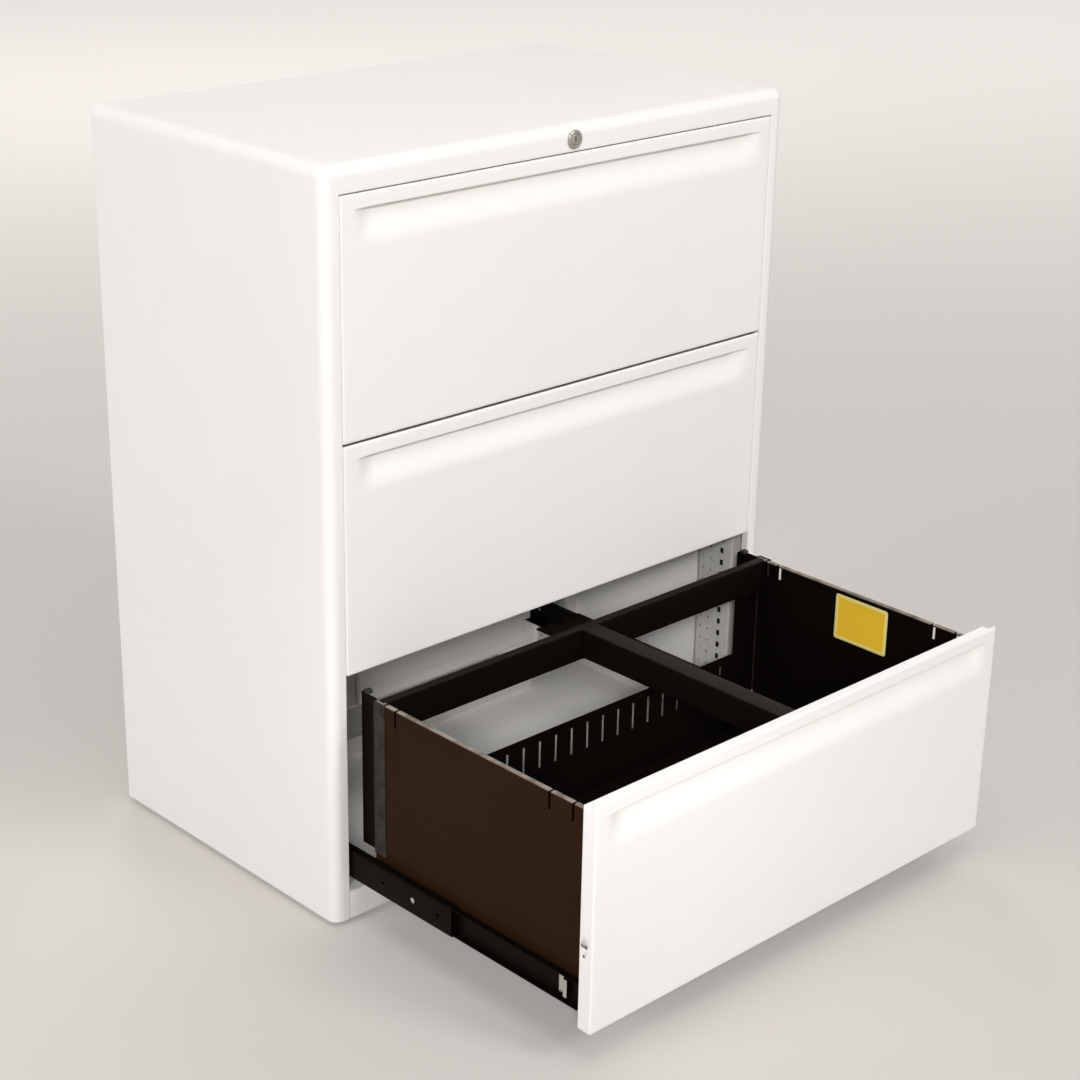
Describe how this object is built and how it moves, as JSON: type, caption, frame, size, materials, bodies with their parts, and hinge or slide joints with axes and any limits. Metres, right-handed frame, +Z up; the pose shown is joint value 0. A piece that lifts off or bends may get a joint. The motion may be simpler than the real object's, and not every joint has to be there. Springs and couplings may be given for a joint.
{
  "type": "lateral filing cabinet",
  "caption": "White steel lateral filing cabinet with full-width drawers on ball slides, recessed pulls, black drawer bodies with hang rails and a lock in the top rail.",
  "frame": {"origin": "on the floor, at the middle of the cabinet's plan with the bottom drawer pulled out", "axes": "+X to the right along the fronts, +Y from the fronts to the back, +Z up"},
  "size_m": [0.8, 0.91, 0.995],
  "materials": {
    "white_powder_coat": "warm white powder coat with a fine orange peel, semi-matt",
    "black_powder_coat": "black powder coat, satin",
    "black_slide_coat": "black electro-coated steel, satin",
    "galvanised_steel": "pale zinc-coated sheet steel",
    "nickel_lock": "satin nickel plate",
    "black_nylon": "black moulded nylon"
  },
  "bodies": {
    "case": {"left_side_panel": "white_powder_coat", "right_side_panel": "white_powder_coat", "top_panel": "white_powder_coat", "back_panel": "white_powder_coat", "base_pan": "white_powder_coat", "base_front_rail": "white_powder_coat", "counterweight": "galvanised_steel", "lock_housing": "nickel_lock", "lock_channel": "galvanised_steel", "left_front_upright": "galvanised_steel", "left_rear_upright": "galvanised_steel", "right_front_upright": "galvanised_steel", "right_rear_upright": "galvanised_steel", "left_front_foot": "black_nylon", "left_rear_foot": "black_nylon", "right_front_foot": "black_nylon", "right_rear_foot": "black_nylon", "bottom_left_slide_outer": "black_slide_coat", "bottom_right_slide_outer": "black_slide_coat", "middle_left_slide_outer": "black_slide_coat", "middle_right_slide_outer": "black_slide_coat", "top_left_slide_outer": "black_slide_coat", "top_right_slide_outer": "black_slide_coat"},
    "bottom_drawer": {"bottom_drawer_front": "white_powder_coat", "bottom_drawer_tray": "black_powder_coat", "bottom_rear_hang_rail": "black_powder_coat", "bottom_centre_hang_rail": "black_powder_coat", "bottom_catch_bracket": "black_powder_coat", "bottom_drawer_left_side": "black_powder_coat", "bottom_drawer_right_side": "black_powder_coat", "bottom_left_slide_inner": "black_slide_coat", "bottom_right_slide_inner": "black_slide_coat"},
    "bottom_slide_middles": {"bottom_left_slide_middle": "black_slide_coat", "bottom_right_slide_middle": "black_slide_coat"},
    "middle_drawer": {"middle_drawer_front": "white_powder_coat", "middle_drawer_tray": "black_powder_coat", "middle_rear_hang_rail": "black_powder_coat", "middle_centre_hang_rail": "black_powder_coat", "middle_catch_bracket": "black_powder_coat", "middle_drawer_left_side": "black_powder_coat", "middle_drawer_right_side": "black_powder_coat", "middle_left_slide_inner": "black_slide_coat", "middle_right_slide_inner": "black_slide_coat"},
    "middle_slide_middles": {"middle_left_slide_middle": "black_slide_coat", "middle_right_slide_middle": "black_slide_coat"},
    "top_drawer": {"top_drawer_front": "white_powder_coat", "top_drawer_tray": "black_powder_coat", "top_rear_hang_rail": "black_powder_coat", "top_centre_hang_rail": "black_powder_coat", "top_catch_bracket": "black_powder_coat", "top_drawer_left_side": "black_powder_coat", "top_drawer_right_side": "black_powder_coat", "top_left_slide_inner": "black_slide_coat", "top_right_slide_inner": "black_slide_coat"},
    "top_slide_middles": {"top_left_slide_middle": "black_slide_coat", "top_right_slide_middle": "black_slide_coat"},
    "lock_cylinder": {"lock_plug": "nickel_lock", "lock_shaft": "galvanised_steel"},
    "lock_bar": {"lock_bar": "galvanised_steel"}
  },
  "joints": [
    {"name": "bottom_drawer_slide", "type": "slide", "parent": "case", "child": "bottom_drawer", "axis": [0, -1, 0], "range_m": [-0.44, 0]},
    {"name": "bottom_slide_middles_slide", "type": "slide", "parent": "case", "child": "bottom_slide_middles", "axis": [0, -1, 0], "range_m": [-0.22, 0]},
    {"name": "middle_drawer_slide", "type": "slide", "parent": "case", "child": "middle_drawer", "axis": [0, -1, 0], "range_m": [0, 0.44]},
    {"name": "middle_slide_middles_slide", "type": "slide", "parent": "case", "child": "middle_slide_middles", "axis": [0, -1, 0], "range_m": [0, 0.22]},
    {"name": "top_drawer_slide", "type": "slide", "parent": "case", "child": "top_drawer", "axis": [0, -1, 0], "range_m": [0, 0.44]},
    {"name": "top_slide_middles_slide", "type": "slide", "parent": "case", "child": "top_slide_middles", "axis": [0, -1, 0], "range_m": [0, 0.22]},
    {"name": "lock_turn", "type": "hinge", "parent": "case", "child": "lock_cylinder", "pos_m": [0, -0.015, 0.976], "axis": [0, 1, 0], "range_deg": [0, 90]},
    {"name": "lock_bar_slide", "type": "slide", "parent": "case", "child": "lock_bar", "axis": [0, 0, -1], "range_m": [0, 0.01414]}
  ],
  "couplings": [
    {"joint": "bottom_slide_middles_slide", "follows": "bottom_drawer_slide", "ratio": 0.5},
    {"joint": "middle_slide_middles_slide", "follows": "middle_drawer_slide", "ratio": 0.5},
    {"joint": "top_slide_middles_slide", "follows": "top_drawer_slide", "ratio": 0.5},
    {"joint": "lock_turn", "follows": "lock_bar_slide", "rad_per_m": 111.07}
  ]
}
